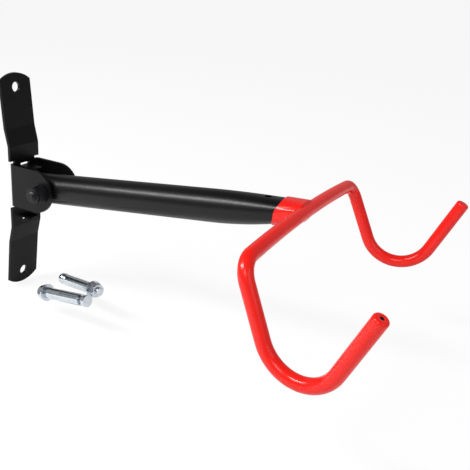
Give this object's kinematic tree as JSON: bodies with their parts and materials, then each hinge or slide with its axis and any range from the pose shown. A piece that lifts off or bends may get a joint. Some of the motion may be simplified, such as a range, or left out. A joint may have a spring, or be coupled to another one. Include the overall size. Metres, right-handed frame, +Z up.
{
  "type": "bicycle wall rack",
  "caption": "Wall bracket with a folding tube arm ending in a crossbar with a vinyl-coated hook at each end, for hanging bicycles by the frame, with its wall anchors.",
  "frame": {"origin": "midway between the two anchor holes of the bracket, at the middle of their depth; the wall is 2.9 mm behind it", "axes": "+X along the wall, +Y into the wall, +Z up; the arm reaches out along -Y"},
  "size_m": [0.3004, 0.4565, 0.239],
  "materials": {
    "black_bracket_coat": "satin black powder coat",
    "black_tube_coat": "satin black powder coat",
    "black_oxide_steel": "black oxide",
    "plain_steel": "bare, hidden in the assembly",
    "nylon_ring": "matte nylon",
    "red_vinyl": "glossy dipped vinyl",
    "zinc_plate": "bright zinc plate"
  },
  "bodies": {
    "bracket": {"wall_bracket": "black_bracket_coat", "upper_tongue": "black_bracket_coat", "lower_tongue": "black_bracket_coat", "tongue_welds": "black_bracket_coat", "pivot_bolt": "black_oxide_steel", "head_washer": "black_oxide_steel", "nut_washer": "black_oxide_steel", "pivot_nut": "black_oxide_steel", "nut_locking_ring": "nylon_ring", "anchor_studs": "zinc_plate", "anchor_sleeves": "zinc_plate", "anchor_washers": "zinc_plate", "anchor_spring_washers": "zinc_plate", "anchor_nuts": "zinc_plate"},
    "arm": {"arm_tube": "black_tube_coat", "pivot_bush": "plain_steel", "side_washers": "nylon_ring", "hook_rod": "plain_steel", "rod_welds": "plain_steel", "vinyl_coating": "red_vinyl"}
  },
  "joints": [
    {"name": "arm_fold", "type": "hinge", "parent": "bracket", "child": "arm", "pos_m": [0, -0.0505, 0.0035], "axis": [-1, 0, 0], "range_deg": [-7, 85]}
  ]
}
